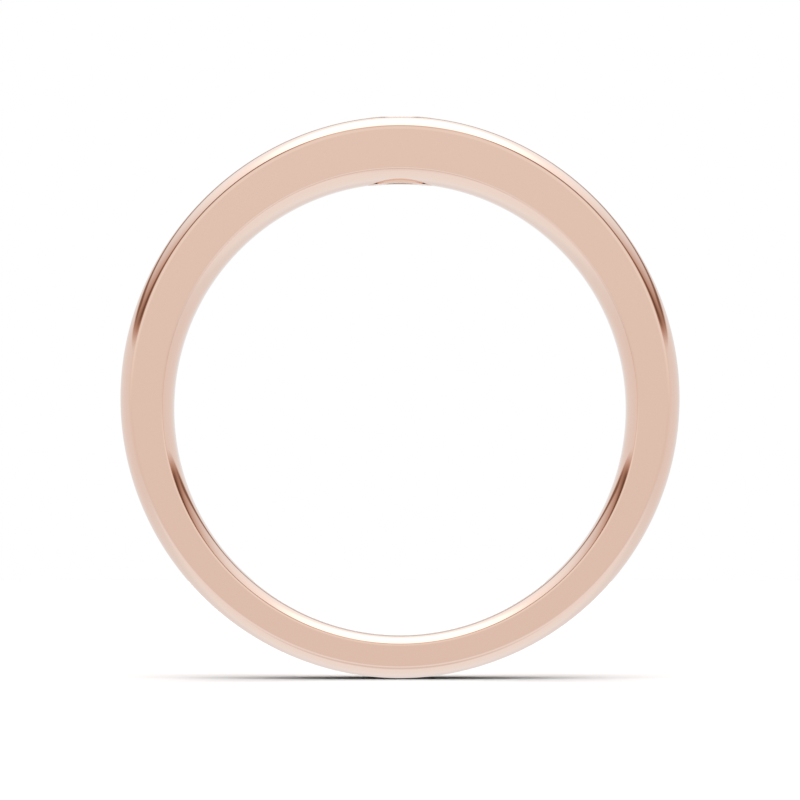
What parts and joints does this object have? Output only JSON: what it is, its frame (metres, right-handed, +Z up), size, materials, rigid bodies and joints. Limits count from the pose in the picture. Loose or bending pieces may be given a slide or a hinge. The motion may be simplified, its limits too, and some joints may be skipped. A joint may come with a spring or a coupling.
{
  "type": "wedding band",
  "caption": "Rose gold wedding band, comfort-fit inside, thicker and wider at the top, with one small round brilliant held flush in a tube setting.",
  "frame": {"origin": "centre of the finger hole, on its axis, at the middle of the band's width", "axes": "+Y along the finger, +Z up from the finger's axis to the setting at the top of the band, +X across the ring"},
  "size_m": [0.0214, 0.0048, 0.0215],
  "materials": {
    "rose_gold_band": "high polish",
    "rose_gold_setting": "high polish",
    "diamond": "clear, faceted"
  },
  "bodies": {
    "root": {"band": "rose_gold_band", "tube_setting": "rose_gold_setting", "stone": "diamond"}
  },
  "joints": []
}
